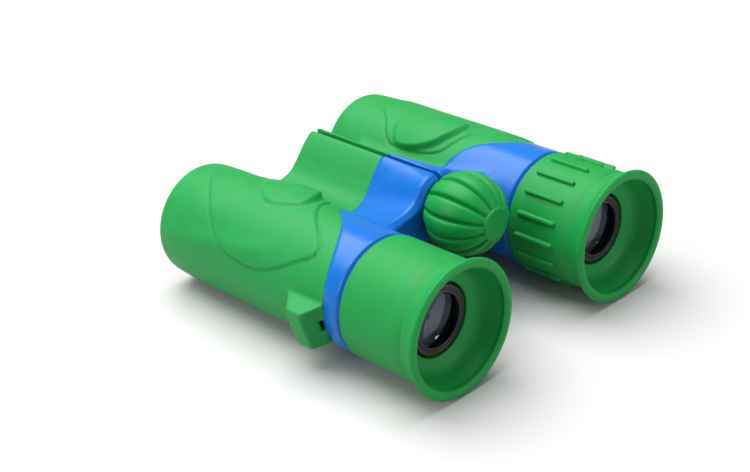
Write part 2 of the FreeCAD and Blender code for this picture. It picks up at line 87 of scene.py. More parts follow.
camera = {"position": (-0.3023, -0.2984, 0.2344), "target": (-0.01288, 0.00007, 0.02159), "roll": -3.044,
          "lens": 79.42, "sensor": 36.0, "clip": (0.01, 20.0)}
cameraData = bpy.data.cameras.new("camera")
cameraObject = bpy.data.objects.new("camera", cameraData)
bpy.context.scene.collection.objects.link(cameraObject)
cameraData.lens = camera["lens"]
cameraData.sensor_width = camera["sensor"]
cameraData.clip_start, cameraData.clip_end = camera["clip"]
aim = Vector(camera["target"]) - Vector(camera["position"])
roll = Matrix.Rotation(math.radians(camera["roll"]), 4, "Z")
turn = aim.to_track_quat("-Z", "Y").to_matrix().to_4x4() @ roll
cameraObject.matrix_world = Matrix.Translation(camera["position"]) @ turn
bpy.context.scene.camera = cameraObject

# the floor slopes up from the eyecups' rims to the thinner front ends, so that both rest on it
floor = {"size": 6.0, "tilt": 1.45, "drop": 0.0001, "colour": (0.54, 0.54, 0.535), "rough": 0.6,
         "gloss": 0.1}
light = {"world": 0.38, "key": 26.0, "keySize": 1.2, "keyPlace": (-0.05, 0.3, 1.05), "fill": 3.8,
         "fillSize": 0.5, "fillPlace": (-1.0, 0.2, 0.55), "spark": 1.8, "sparkSize": 0.12,
         "sparkPlace": (0.36, -0.86, 0.2), "target": (0, 0, 0.02)}

bpy.ops.mesh.primitive_plane_add(size=floor["size"])
floorObject = bpy.context.object
floorObject.name = "floor"
floorObject.rotation_euler = (math.radians(floor["tilt"]), 0, 0)
floorObject.location = (0, rearY * mm, -floor["drop"])


def areaLight(name, power, size, spot):
    data = bpy.data.lights.new(name, "AREA")
    data.energy, data.size = power, size
    lamp = bpy.data.objects.new(name, data)
    bpy.context.scene.collection.objects.link(lamp)
    lamp.location = spot
    lamp.rotation_euler = (Vector(light["target"]) - Vector(spot)).to_track_quat("-Z", "Y").to_euler()


floorMaterial = bpy.data.materials.new("floorPaper")
floorMaterial.use_nodes = True
paper = floorMaterial.node_tree.nodes["Principled BSDF"]
paper.inputs["Base Color"].default_value = floor["colour"] + (1,)
paper.inputs["Roughness"].default_value = floor["rough"]
paper.inputs["Specular IOR Level"].default_value = floor["gloss"]
floorObject.data.materials.append(floorMaterial)

for lamp in ("key", "fill", "spark"):
    areaLight(lamp, light[lamp], light[lamp + "Size"], light[lamp + "Place"])
world = bpy.data.worlds.new("world")
world.use_nodes = True
world.node_tree.nodes["Background"].inputs["Color"].default_value = (1, 1, 1, 1)
world.node_tree.nodes["Background"].inputs["Strength"].default_value = light["world"]
bpy.context.scene.world = world
bpy.context.scene.view_settings.view_transform = "Standard"
print("stage: camera and light")


# materials

grainOf = {"low": 0.3, "high": 0.7, "smoother": 0.88, "rougher": 1.14, "wideDetail": 3.0, "fineDetail": 2.0,
           "depth": 0.00002}


def linear(colour):
    return tuple(c / 12.92 if c <= 0.04045 else ((c + 0.055) / 1.055) ** 2.4 for c in colour)


# a shader whose colour and roughness drift with a wide noise, and whose normal follows a fine one
def surface(name, colour, rough, metal=0.0, spread=0.1, scale=200.0, bump=0.1, grain=2500.0, glass=0.0,
            index=1.5, stretch=(1, 1, 1), specular=0.5, tint=(1, 1, 1)):
    material = bpy.data.materials.new(name)
    material.use_nodes = True
    tree = material.node_tree
    shader = tree.nodes["Principled BSDF"]
    coordinates = tree.nodes.new("ShaderNodeTexCoord")
    mapping = tree.nodes.new("ShaderNodeMapping")
    mapping.inputs["Scale"].default_value = stretch
    tree.links.new(coordinates.outputs["Object"], mapping.inputs["Vector"])
    wide = tree.nodes.new("ShaderNodeTexNoise")
    wide.inputs["Scale"].default_value = scale
    wide.inputs["Detail"].default_value = grainOf["wideDetail"]
    fine = tree.nodes.new("ShaderNodeTexNoise")
    fine.inputs["Scale"].default_value = grain
    fine.inputs["Detail"].default_value = grainOf["fineDetail"]
    tones = tree.nodes.new("ShaderNodeValToRGB")
    roughs = tree.nodes.new("ShaderNodeMapRange")
    bumps = tree.nodes.new("ShaderNodeBump")
    for noise in (wide, fine):
        tree.links.new(mapping.outputs["Vector"], noise.inputs["Vector"])
    mid = linear(colour)
    dark, pale = tones.color_ramp.elements
    dark.position, pale.position = grainOf["low"], grainOf["high"]
    dark.color = tuple(c * (1 - spread) for c in mid) + (1,)
    pale.color = tuple(min(1.0, c * (1 + spread)) for c in mid) + (1,)
    roughs.inputs["From Min"].default_value = grainOf["low"]
    roughs.inputs["From Max"].default_value = grainOf["high"]
    roughs.inputs["To Min"].default_value = rough * grainOf["smoother"]
    roughs.inputs["To Max"].default_value = min(1.0, rough * grainOf["rougher"])
    bumps.inputs["Strength"].default_value = bump
    bumps.inputs["Distance"].default_value = grainOf["depth"]
    tree.links.new(wide.outputs["Fac"], tones.inputs["Fac"])
    tree.links.new(wide.outputs["Fac"], roughs.inputs["Value"])
    tree.links.new(fine.outputs["Fac"], bumps.inputs["Height"])
    tree.links.new(tones.outputs["Color"], shader.inputs["Base Color"])
    tree.links.new(roughs.outputs["Result"], shader.inputs["Roughness"])
    tree.links.new(bumps.outputs["Normal"], shader.inputs["Normal"])
    shader.inputs["Metallic"].default_value = metal
    shader.inputs["Transmission Weight"].default_value = glass
    shader.inputs["IOR"].default_value = index
    shader.inputs["Specular IOR Level"].default_value = specular
    shader.inputs["Specular Tint"].default_value = tint + (1,)
    return material


rubber = {"spread": 0.05, "scale": 160.0, "bump": 0.3, "grain": 3200.0, "specular": 0.22}
gloss = {"spread": 0.04, "bump": 0.08, "grain": 900.0, "specular": 0.25}
coated = {"spread": 0.02, "bump": 0.0, "glass": 1.0, "tint": (0.6, 0.68, 0.95), "index": 1.52}
polished = {"spread": 0.02, "bump": 0.01, "glass": 0.985, "index": 1.57}
lathed = {"metal": 1.0, "bump": 0.12, "stretch": (1, 12, 1)}
paint = {  # keyed by the record's material slots
    "armour_green": surface("armourGreen", (0.095, 0.53, 0.25), 0.5, **rubber),
    "eyecup_green": surface("eyecupGreen", (0.07, 0.525, 0.235), 0.5, **rubber),
    "knob_green": surface("knobGreen", (0.06, 0.525, 0.23), 0.42, **rubber),
    "housing_blue": surface("housingBlue", (0.03, 0.375, 0.7), 0.26, **gloss),
    "black_plastic": surface("blackPlastic", (0.045, 0.045, 0.05), 0.34, bump=0.2),
    "lens_glass": surface("lensGlass", (0.93, 0.96, 0.99), 0.01, **coated),
    "prism_glass": surface("prismGlass", (0.72, 0.78, 0.82), 0.03, **polished),
    "spring_steel": surface("springSteel", (0.56, 0.56, 0.57), 0.3, metal=1.0, bump=0.15,
                            stretch=(1, 8, 1)),
    "steel": surface("steel", (0.66, 0.66, 0.67), 0.28, **lathed),
    "aluminium": surface("aluminium", (0.16, 0.16, 0.17), 0.42, metal=0.8, bump=0.2,
                         stretch=(1, 10, 1)),
    "brass": surface("brass", (0.74, 0.60, 0.33), 0.3, **lathed),
    "acetal_white": surface("acetalWhite", (0.86, 0.85, 0.82), 0.35, bump=0.1),
}
print("stage: materials", len(paint))


# mesh helpers

def solidFaces(points, faces):  # quads, all turned round if they enclose a negative volume
    a, b, c, d = (points[faces[:, k]] for k in range(4))
    volume = np.sum(np.cross(a, b) * c) + np.sum(np.cross(a, c) * d)
    return faces[:, ::-1] if volume < 0 else faces


# a piece from points (x, station, level) in millimetres and quads, in place of a CAD node
def addPiece(name, points, faces, slot, body, node, sharp=35.0):
    faces = solidFaces(points, np.asarray(faces))
    mesh = bpy.data.meshes.new(name)
    placed = place(points)
    mesh.vertices.add(len(placed))
    mesh.vertices.foreach_set("co", placed.ravel())
    width = faces.shape[1]
    mesh.loops.add(faces.size)
    mesh.loops.foreach_set("vertex_index", faces.ravel())
    mesh.polygons.add(len(faces))
    mesh.polygons.foreach_set("loop_start", np.arange(0, faces.size, width))
    mesh.update(calc_edges=True)
    weld(mesh)
    return finishPiece(name, mesh, slot, body, node, sharp)


weldReach = {"join": 1e-7, "sliver": 1e-8}


def weld(mesh):  # joins vertices that share a place, so that poles and seams close
    work = bmesh.new()
    work.from_mesh(mesh)
    bmesh.ops.remove_doubles(work, verts=work.verts, dist=weldReach["join"])
    bmesh.ops.dissolve_degenerate(work, edges=work.edges, dist=weldReach["sliver"])
    work.to_mesh(mesh)
    work.free()


def finishPiece(name, mesh, slot, body, node, sharp):
    mesh.polygons.foreach_set("use_smooth", np.ones(len(mesh.polygons), dtype=bool))
    mesh.set_sharp_from_angle(angle=math.radians(sharp))
    mesh.materials.clear()
    mesh.materials.append(paint[slot])
    piece = bpy.data.objects.new(name, mesh)
    bpy.context.scene.collection.objects.link(piece)
    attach(piece, body)
    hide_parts(node)
    return piece


def latheMesh(outline, x, level, steps):  # a closed outline of (station, radius) turned about an axis
    outline = np.asarray(outline, dtype=float)
    area = np.sum(outline[:, 0] * np.roll(outline[:, 1], -1) - np.roll(outline[:, 0], -1) * outline[:, 1])
    if area < 0:
        outline = outline[::-1]
    angle = np.linspace(0, 2 * math.pi, steps, endpoint=False)
    rows = len(outline)
    points = np.stack([x + np.outer(np.cos(angle), outline[:, 1]), np.tile(outline[:, 0], (steps, 1)),
                       level + np.outer(np.sin(angle), outline[:, 1])], axis=-1).reshape(-1, 3)
    i, j = np.meshgrid(np.arange(steps), np.arange(rows), indexing="ij")
    here, along = i * rows + j, i * rows + (j + 1) % rows
    across, both = (i + 1) % steps * rows + j, (i + 1) % steps * rows + (j + 1) % rows
    faces = np.stack([here, across, both, along], axis=-1).reshape(-1, 4)
    return points, faces


def roundCorners(corners, share=0.45, steps=4):  # corners (station, radius, size of the rounding)
    out = []
    count = len(corners)
    for i, corner in enumerate(corners):
        own = corner[2]
        here = np.array(corner[:2], dtype=float)
        before = np.array(corners[i - 1][:2], dtype=float) - here
        after = np.array(corners[(i + 1) % count][:2], dtype=float) - here
        reachA = min(own, share * np.linalg.norm(before))
        reachB = min(own, share * np.linalg.norm(after))
        a = here + before / np.linalg.norm(before) * reachA
        b = here + after / np.linalg.norm(after) * reachB
        if own <= 0:
            out.append(here)
            continue
        for t in np.linspace(0, 1, steps):
            out.append((1 - t) ** 2 * a + 2 * t * (1 - t) * here + t ** 2 * b)
    return out


# shells: a field that is negative inside, meshed on a grid that follows the barrel

def curve(points, steps=40):  # x and y tables of a smooth curve through the points
    points = np.asarray(points, dtype=float)
    x, y = points.T
    slopes = np.gradient(y, x)
    xs, ys = [], []
    for i in range(len(x) - 1):
        t = np.linspace(0, 1, steps, endpoint=False)
        h = x[i + 1] - x[i]
        xs.append(x[i] + t * h)
        ys.append((2 * t ** 3 - 3 * t ** 2 + 1) * y[i] + (t ** 3 - 2 * t ** 2 + t) * h * slopes[i]
                  + (3 * t ** 2 - 2 * t ** 3) * y[i + 1] + (t ** 3 - t ** 2) * h * slopes[i + 1])
    return np.append(np.concatenate(xs), x[-1]), np.append(np.concatenate(ys), y[-1])


def smax(a, b, k):  # the larger of two, rounded over k where they meet
    h = np.maximum(k - np.abs(a - b), 0) / k
    return np.maximum(a, b) + h * h * k * 0.25


def smin(a, b, k):
    return -smax(-a, -b, k)


shell = {
    "barrel": ((28.2, 16.3), (28.6, 16.3), (28.9, 16.38), (29.15, 16.7), (29.4, 17.0), (29.75, 17.14),
               (30.5, 17.18), (34.0, 17.2), (50.0, 17.5), (72.0, 17.4), (100.6, 16.9), (104.0, 16.6)),
    "edge": ((-38.5, 60), (-33.5, 59.3), (-18, 56.4), (-11, 53.6), (-5.9, 49.6), (0, 42.9), (6.4, 38.2),
             (12.2, 35.4), (17.2, 34), (60, 33.4)),
    "rear": 28.2, "frontRound": 2.6, "rearRound": 0.3, "fillet": 2.2, "skin": 1.5, "skinLevel": 6.0,
    "skinEnd": 30.0, "gap": 0.06, "lowGap": 0.05, "inset": 0.08, "room": 0.1, "seamRound": 0.4,
    "rubberR": 15.3, "lipBore": 13.9, "tubeR": 15.2, "cavityR": 13.6, "cavityRear": 32.0, "paintOver": 0.2,
    "housingFront": 101.0, "tongueDeep": 0.2, "tongueLong": 0.7, "tongueRear": 30.5,
}
arm = {
    "topFront": ((0.75, 20.8), (1.9, 20.4), (3.4, 19.2), (5.6, 16.9), (8, 14), (10.4, 11.5), (13.5, 10.1),
                 (18, 9.8), (26, 9.8)),
    "topRear": ((0.75, 20.9), (2.5, 21.0), (4.2, 20.8), (6.8, 19), (9, 16), (11.8, 14.3), (15.5, 13.5),
                (20, 13), (26, 12.6)),
    "bottom": ((3.8, 4.92), (9, 1.4), (18, -2), (26, -2.4)),
    "front": 89.1, "rear": 37.7, "blendFront": 60.0, "slit": 0.75, "bevel": 1.7, "wedgeDeg": 30.0,
    "slitRound": 0.5, "frontRound": 1.2, "rearRound": 0.35, "wedgeRound": 0.4, "underRound": 1.0,
    "endRound": 0.2,
}
lug = {
    "deg": 13.0, "out": 22.5, "half": 6.5, "taper": 0.13, "taperShare": 0.6, "slantOut": 17,
    "slantFront": 46.8, "slantRise": 4.6, "slantRun": 5.5, "slantLong": 7.17, "rear": 36.95, "rearLean": 0.45,
    "rearSteep": 0.91, "parting": 0.14, "partingWide": 0.3, "slotHalf": 1.7, "slotOut": 15.95,
    "slotDeep": 1.95, "slotFront": 48.6, "root": 12.0, "sideRound": 0.9, "round": 0.7, "rootRound": 0.3,
    "slotRound": 0.4, "fillet": 0.8,
}
hinge = {
    "r": 5.0, "clearR": 5.3, "axleR": 3.32, "capR": 4.4, "capRear": 85.0, "bushR": 4.2, "bushFront": 39.2,
    "knuckles": {-1: ((37.7, 46.0), (74.9, 89.1)), 1: ((46.3, 52.4), (68.6, 74.6))}, "round": 0.3,
    "pocket": ((13.4, 9.4), (0, 3.0), (60.5, 8.1)),  # middles and half sizes
}
table = {name: curve(shell[name]) for name in ("barrel", "edge")}
table.update({name: curve(arm[name]) for name in ("topFront", "topRear", "bottom")})
wedgeCos, wedgeSin = math.cos(math.radians(arm["wedgeDeg"])), math.sin(math.radians(arm["wedgeDeg"]))
lugCos, lugSin = math.cos(math.radians(lug["deg"])), math.sin(math.radians(lug["deg"]))


def look(name, x):
    return np.interp(x, *table[name])


def slope(name, x, step=0.05):
    return (look(name, x + step) - look(name, x - step)) / (2 * step)


# in the fields q is the distance from the middle plane, s the station and l the level
def armField(q, s, l):
    rear = np.clip((arm["blendFront"] - s) / (arm["blendFront"] - arm["rear"]), 0, 1)
    top = rear * look("topRear", q) + (1 - rear) * look("topFront", q)
    steep = rear * slope("topRear", q) + (1 - rear) * slope("topFront", q)
    over = (l - top) / np.sqrt(1 + steep ** 2)
    bevel = (over + arm["rear"] - s + arm["bevel"]) / math.sqrt(2)
    body = smax(over, arm["slit"] - q, arm["slitRound"])
    body = smax(smax(body, s - arm["front"], arm["frontRound"]), arm["rear"] - s, arm["rearRound"])
    body = smax(body, bevel, arm["rearRound"])
    wedge = -(wedgeCos * q + wedgeSin * (l - hingeLevel))
    under = (look("bottom", q) - l) / np.sqrt(1 + slope("bottom", q) ** 2)
    body = smax(smax(body, wedge, arm["wedgeRound"]), under, arm["underRound"])
    return smax(body, q - barrelX, arm["endRound"])


def lugField(q, s, l):  # the lug and its slot, square to a line that leaves the barrel a little downwards
    out = (q - barrelX) * lugCos - l * lugSin
    across = (q - barrelX) * lugSin + l * lugCos
    taper = np.where(across < 0, lug["taper"] * across, 0)
    slant = (out - lug["slantOut"]) * lug["slantRise"] + (s - lug["slantFront"]) * lug["slantRun"]
    slant = slant / lug["slantLong"] - lug["taperShare"] * taper
    rear = (lug["rear"] - lug["rearLean"] * (lug["out"] - out) - s) * lug["rearSteep"]
    sides = smax(out - lug["out"] - taper, np.abs(across) - lug["half"], lug["sideRound"])
    body = smax(sides, smax(slant, rear, lug["round"]), lug["round"])
    body = body - lug["parting"] * np.exp(-(across / lug["partingWide"]) ** 2)
    slot = np.maximum(np.abs(across) - lug["slotHalf"], np.abs(out - lug["slotOut"]) - lug["slotDeep"])
    return smax(body, lug["root"] - out, lug["rootRound"]), np.maximum(slot, s - lug["slotFront"])


def outerField(q, s, l):
    r = np.sqrt((q - barrelX) ** 2 + l ** 2)
    barrel = smax(r - look("barrel", s), s - length, shell["frontRound"])
    barrel = smax(barrel, shell["rear"] - s, shell["rearRound"])
    return smin(barrel, armField(q, s, l), shell["fillet"]), r


def edgeField(q, s):  # how far in front of the seam between the blue and the green
    u = q - barrelX
    return (s - look("edge", u)) / np.sqrt(1 + slope("edge", u) ** 2)


def armourField(q, s, l, side):
    body, r = outerField(q, s, l)
    ear, slot = lugField(q, s, l)
    full = smin(body, ear, lug["fillet"])
    skin = np.minimum(r - shell["rubberR"], np.maximum(body + shell["skin"], q - shell["skinEnd"]))
    bore = np.maximum(r - shell["lipBore"], shell["housingFront"] - s)
    knuckle = np.hypot(q, l - hingeLevel) - hinge["clearR"]
    low = np.maximum(armField(q, s, l) - shell["lowGap"], l - shell["skinLevel"])
    out = smax(full + shell["inset"], shell["gap"] - edgeField(q, s), shell["seamRound"])
    for hollow in (skin, low, knuckle, bore):
        out = np.maximum(out, -hollow)
    return smax(out, -slot, lug["slotRound"])


def housingField(q, s, l, side):
    body, r = outerField(q, s, l)
    seam = edgeField(q, s)
    collar = smax(body, seam + shell["gap"], shell["seamRound"])
    core = np.maximum(body + shell["skin"] + shell["room"], q - shell["skinEnd"])
    tube = np.maximum(r - shell["tubeR"], np.maximum(s - shell["housingFront"], shell["rear"] - s))
    low = np.maximum(armField(q, s, l), l - shell["skinLevel"] + shell["room"])
    tongue = np.maximum(body + shell["tongueDeep"], seam - shell["tongueLong"])
    tongue = np.maximum(tongue, shell["tongueRear"] - s)  # closes the seam under the green's edge
    out = np.minimum.reduce([collar, core, tube, low, tongue])
    reach = np.hypot(q, l - hingeLevel)
    turned = math.atan2(hingeLevel, barrelX)  # the pocket for the yoke runs from the hinge to the barrel
    along = q * math.cos(turned) - (l - hingeLevel) * math.sin(turned)
    aside = q * math.sin(turned) + (l - hingeLevel) * math.cos(turned)
    pocket = np.maximum.reduce([np.abs(v - middle) - half for v, (middle, half) in
                                zip((along, aside, s), hinge["pocket"])])
    own = np.minimum.reduce([np.maximum(a - s, s - b) for a, b in hinge["knuckles"][side]])
    out = np.maximum(out, -np.maximum(reach - hinge["clearR"], -own))
    out = np.maximum(out, -pocket)
    out = np.minimum(out, smax(np.maximum(reach - hinge["r"], own), own, hinge["round"]))
    for hollow in (reach - hinge["axleR"], np.maximum(reach - hinge["capR"], hinge["capRear"] - s),
                   np.maximum(reach - hinge["bushR"], s - hinge["bushFront"]),
                   np.maximum(r - shell["cavityR"], shell["cavityRear"] - s)):
        out = np.maximum(out, -hollow)
    return out


def lines(*spans):  # grid lines from (start, end, step) spans
    parts = [np.linspace(a, b, max(2, int(round((b - a) / step))), endpoint=False) for a, b, step in spans]
    return np.append(np.concatenate(parts), spans[-1][1])


net = {"nearest": 1e-6, "wall": 0.02, "probe": 0.02, "reach": 0.3, "passes": 3, "leastSlope": 0.25}


# quads on the field's zero surface, one vertex to a grid cell that it crosses; the angles run right round
def netMesh(field, angles, stations, radii, side):
    turns = len(angles)
    shape = (turns, len(stations), len(radii))
    psi, s, r = np.radians(angles)[:, None, None], stations[None, :, None], radii[None, None, :]
    q = barrelX - r * np.cos(psi) + 0 * s
    l = r * np.sin(psi) + 0 * s
    value = field(q, s + 0 * q, l, side)
    value = np.where(np.abs(value) < net["nearest"], net["nearest"], value)
    for edge in (value[:, 0], value[:, -1], value[:, :, 0], value[:, :, -1]):
        np.copyto(edge, np.abs(edge) + net["wall"])
    cells = turns * shape[1] * shape[2]
    total, weight, quads = np.zeros((3, cells)), np.zeros(cells), []
    for axis in range(3):
        after = np.roll(value, -1, axis)
        crossed = (value < 0) != (after < 0)
        if axis:
            crossed[(slice(None),) * axis + (-1,)] = False
        at = np.array(np.nonzero(crossed))
        first, second = value[tuple(at)], after[tuple(at)]
        spot = at.astype(float)
        spot[axis] += first / (first - second)
        b, c = (axis + 1) % 3, (axis + 2) % 3
        ring = []
        for stepB, stepC in ((-1, -1), (0, -1), (0, 0), (-1, 0)):
            cell = at.copy()
            cell[b] += stepB
            cell[c] += stepC
            cell[0] %= turns
            index = (cell[0] * shape[1] + cell[1]) * shape[2] + cell[2]
            for k in range(3):
                share = spot[k] + (turns * (spot[0] < cell[0] - 0.5) if k == 0 else 0)
                total[k] += np.bincount(index, weights=share, minlength=cells)
            weight += np.bincount(index, minlength=cells)
            ring.append(index)
        ring = np.array(ring).T
        ring[first > 0] = ring[first > 0][:, ::-1]
        quads.append(ring)
    used = np.nonzero(weight)[0]
    spot = total[:, used] / weight[used]
    number = np.full(cells, -1)
    number[used] = np.arange(len(used))
    quads = number[np.concatenate(quads)]
    wide = np.append(angles, angles[0] + 360)
    psi = np.radians(np.interp(spot[0] % turns, np.arange(turns + 1), wide))
    s = np.interp(spot[1], np.arange(shape[1]), stations)
    r = np.interp(spot[2], np.arange(shape[2]), radii)
    return settle(field, np.stack([barrelX - r * np.cos(psi), s, r * np.sin(psi)], axis=-1), side), quads


def settle(field, points, side):  # moves points onto the field's zero surface, in shorter and shorter steps
    reach = net["reach"]
    for _ in range(net["passes"]):
        here = field(*points.T, side)
        grad = np.stack([field(*(points + step).T, side) - field(*(points - step).T, side)
                         for step in net["probe"] * np.eye(3)], axis=-1) / (2 * net["probe"])
        size = np.maximum(np.sum(grad ** 2, axis=-1), net["leastSlope"])
        move = -(here / size)[:, None] * grad
        far = np.maximum(np.linalg.norm(move, axis=-1), 1e-9)
        points = points + move * np.minimum(1, reach / far)[:, None]
        reach *= 0.5
    return points


# relief on the rubber, in degrees round the barrel (0 towards the hinge, 90 up) and stations

relief = {
    "panel": ((92, 94.5), (121, 87.3), (138, 82.7), (156, 76.5), (163, 71.2), (166, 62.8), (160, 55.1),
              (145, 47), (128, 41.8), (95, 51.6), (79.5, 55.1), (62, 57.5), (50, 60), (42, 68), (42, 77),
              (52, 81.6), (65, 84.7), (77, 89)),
    "leaf": ((69, 79.9), (91.5, 74.6), (103, 69.4), (103.5, 65.2), (99, 61.2), (92.5, 58.2), (84, 57.6),
             (74, 58.2), (65, 59.6), (55, 62), (46.5, 66.5), (42, 72.7), (47, 76.6)),
    "ridge": ((60, 150), (72, 156), (85, 163), (100, 171)),
    "panelHigh": 0.45, "panelStep": 0.75, "groove": 0.26, "grooveWide": 0.4, "frontLeft": 0.65,
    "frontFade": (84, 10), "sideFade": (125, 40), "leafHigh": 1.9, "leafStep": 1.5, "leafOver": 0.4,
    "leafLow": 0.18, "leafRise": (84, 17), "leafOut": 0.4, "leafTurn": (106, 42), "ridgeHigh": 0.6,
    "ridgeWide": 3.0, "ridgeRear": (52, 14), "ridgeFront": (104, 8), "partingDeg": 193.0, "partingHigh": 0.18,
    "partingWide": 0.35, "partingRear": (45, 2), "partingFront": (102, 2), "arc": 0.302, "start": (37, 9),
    "span": (36, 206), "depth": 0.35, "seam": 0.4,
}


def closedLoop(points, steps=8):  # a smooth closed curve through the points
    points = np.asarray(points, dtype=float)
    t = np.linspace(0, 1, steps, endpoint=False)[:, None]
    out = []
    for i in range(len(points)):
        a, b, c, d = (points[(i + k) % len(points)] for k in (-1, 0, 1, 2))
        bend, twist = 2 * a - 5 * b + 4 * c - d, 3 * b - a - 3 * c + d
        out.append(0.5 * (2 * b + (c - a) * t + bend * t ** 2 + twist * t ** 3))
    return np.concatenate(out)


def insideBy(points, loop):  # how far each flat point is inside a closed loop, negative outside
    after = np.roll(loop, -1, axis=0)
    near, odd = np.full(len(points), 1e9), np.zeros(len(points), dtype=bool)
    for a, b in zip(loop, after):
        along = b - a
        t = np.clip(((points - a) @ along) / (along @ along), 0, 1)
        near = np.minimum(near, np.sum((points - a - t[:, None] * along) ** 2, axis=-1))
        spans = (a[1] > points[:, 1]) != (b[1] > points[:, 1])
        cross = a[0] + (points[:, 1] - a[1]) / (along[1] if along[1] else 1e-9) * along[0]
        odd ^= spans & (points[:, 0] < cross)
    return np.sqrt(near) * np.where(odd, 1, -1)


def ease(x):
    x = np.clip(x, 0, 1)
    return x * x * (3 - 2 * x)


def rising(x, name):  # from 0 to 1 over the named start and length
    start, run = relief[name]
    return ease((x - start) / run)


def falling(x, name):  # back from 1 to 0 at the named end, over its length
    end, run = relief[name]
    return ease((end - x) / run)


def addRelief(points):  # raises the panel, the leaf, the side ridge and the parting line on the barrel
    q, s, l = points.T
    body, r = outerField(q, s, l)
    psi = np.degrees(np.arctan2(l, barrelX - q)) % 360
    outer = np.abs(r - look("barrel", s)) < relief["depth"]
    turned = (psi > relief["span"][0]) & (psi < relief["span"][1])
    chosen = np.nonzero(outer & turned & (edgeField(q, s) > relief["seam"]))[0]
    psi, s = psi[chosen], s[chosen]
    flat = np.stack([psi * relief["arc"], s], axis=-1)
    scale = np.array([relief["arc"], 1.0])
    panel = insideBy(flat, closedLoop(relief["panel"]) * scale)
    leaf = insideBy(flat, closedLoop(relief["leaf"]) * scale)
    tip = 1 - relief["frontLeft"] * rising(s, "frontFade") * falling(psi, "sideFade")
    high = relief["panelHigh"] * ease(panel / relief["panelStep"] + 0.5) * tip
    high -= relief["groove"] * np.exp(-((panel + relief["grooveWide"]) / relief["grooveWide"]) ** 2) * tip
    rise = relief["leafLow"] + (1 - relief["leafLow"]) * falling(s, "leafRise")
    rise = rise * (relief["leafOut"] + (1 - relief["leafOut"]) * falling(psi, "leafTurn"))
    high += relief["leafHigh"] * rise * ease(leaf / relief["leafStep"] + relief["leafOver"])
    stations, angles = np.array(relief["ridge"], dtype=float).T
    ridge = (psi - np.interp(s, stations, angles)) * relief["arc"] / relief["ridgeWide"]
    high += relief["ridgeHigh"] * np.exp(-ridge ** 2) * rising(s, "ridgeRear") * falling(s, "ridgeFront")
    parting = (psi - relief["partingDeg"]) * relief["arc"] / relief["partingWide"]
    parted = rising(s, "partingRear") * falling(s, "partingFront")
    high += relief["partingHigh"] * np.exp(-parting ** 2) * parted
    high *= rising(psi, "start")
    out = points.copy()
    q, l = points[chosen, 0] - barrelX, points[chosen, 2]
    size = np.hypot(q, l)
    out[chosen, 0] += q / size * high
    out[chosen, 2] += l / size * high
    return out


grid = {
    "armour": (lines((-15, 40, 0.75), (40, 112, 0.95), (112, 180, 1.2), (180, 206, 0.9),
                     (206, 345, 2.4))[:-1],
               lines((33.0, 37, 0.5), (37, 38.6, 0.4), (38.6, 54, 0.55), (54, 64, 0.42), (64, 82, 0.6),
                     (82, 88.2, 0.62), (88.2, 90, 0.4), (90, 100, 0.7), (100, 105, 0.35)),
               lines((13.2, 14.9, 0.5), (14.9, 23.0, 0.42), (23.0, 41.0, 0.5))),
    "housing": (lines((-15, 45, 0.6), (45, 345, 1.6))[:-1],
                lines((27.6, 30.4, 0.2), (30.4, 62, 0.5), (62, 105, 1.0)),
                lines((12.4, 18.5, 0.45), (18.5, 42.0, 0.55))),
    "sharp": 40.0,
}


def blacken(piece, side):  # the bore inside a housing is painted black
    mesh = piece.data
    mesh.materials.append(paint["black_plastic"])
    middles = np.empty(len(mesh.polygons) * 3)
    mesh.polygons.foreach_get("center", middles)
    x, y, z = middles.reshape(-1, 3).T / mm
    inner = np.hypot(x - side * barrelX, z - axisZ) < shell["cavityR"] + shell["paintOver"]
    mesh.polygons.foreach_set("material_index", inner.astype(np.int32))


def addShell(word, side, part, points, quads, slot):
    points = points * np.array([side, 1, 1])
    node = word + "_" + part
    return addPiece(word + part.capitalize(), points, quads, slot, word + "_half", node, grid["sharp"])


points, quads = netMesh(armourField, *grid["armour"], 1)  # one shape for both armours, mirrored
points = addRelief(points)
for word, side in sides:
    addShell(word, side, "armour", points, quads, "armour_green")
print("stage: armours of", len(quads), "quads each")
for word, side in sides:
    points, quads = netMesh(housingField, *grid["housing"], side)
    blacken(addShell(word, side, "housing", points, quads, "housing_blue"), side)
    print("stage:", word, "housing", len(quads), "quads")


# eyecups, rings and bezels, turned about the barrels

def arcThrough(start, middle, end, steps=7):  # points on a curve that passes through middle halfway
    start, middle, end = (np.array(p, dtype=float) for p in (start, middle, end))
    pull = 2 * middle - (start + end) / 2
    return [(1 - t) ** 2 * start + 2 * t * (1 - t) * pull + t ** 2 * end for t in np.linspace(0, 1, steps)]


cup = {"front": 28.0, "r": 17.4, "bore": 15.42, "boreRear": 10.48, "hole": 10.6, "waist": 17.24, "turns": 160,
       "sharp": 38.0, "rimRoom": 0.03}
cupOutline = ([(cup["front"], cup["bore"]), (cup["front"], 17.0), (27.9, 17.25), (27.6, cup["r"])]
              + [(station, cup["r"]) for station in (27.2, 22, 16, 10, 6.8)]
              + [(6.5, cup["waist"]), (6.0, cup["waist"] + 0.02)]
              + arcThrough((5.4, 17.42), (3.2, 17.85), (1.75, 19.0))  # the flare
              + arcThrough((1.6, 19.16), (0.8, rimR - cup["rimRoom"]), (0.08, 18.7))
              + arcThrough((0.02, 18.4), (0.2, 17.5), (0.85, 16.7))  # the rim
              + [(1.1, 16.82), (1.5, 16.95), (2.6, 16.55), (4.2, 15.9)]
              + arcThrough((5.6, 15.3), (7.1, 14.2), (7.9, 12.6))  # the bowl
              + [(8.2, 11.8), (8.4, 11.2), (8.55, cup["hole"] + 0.15)]
              + [(8.7, cup["hole"]), (cup["boreRear"], cup["hole"]), (cup["boreRear"], cup["bore"])])


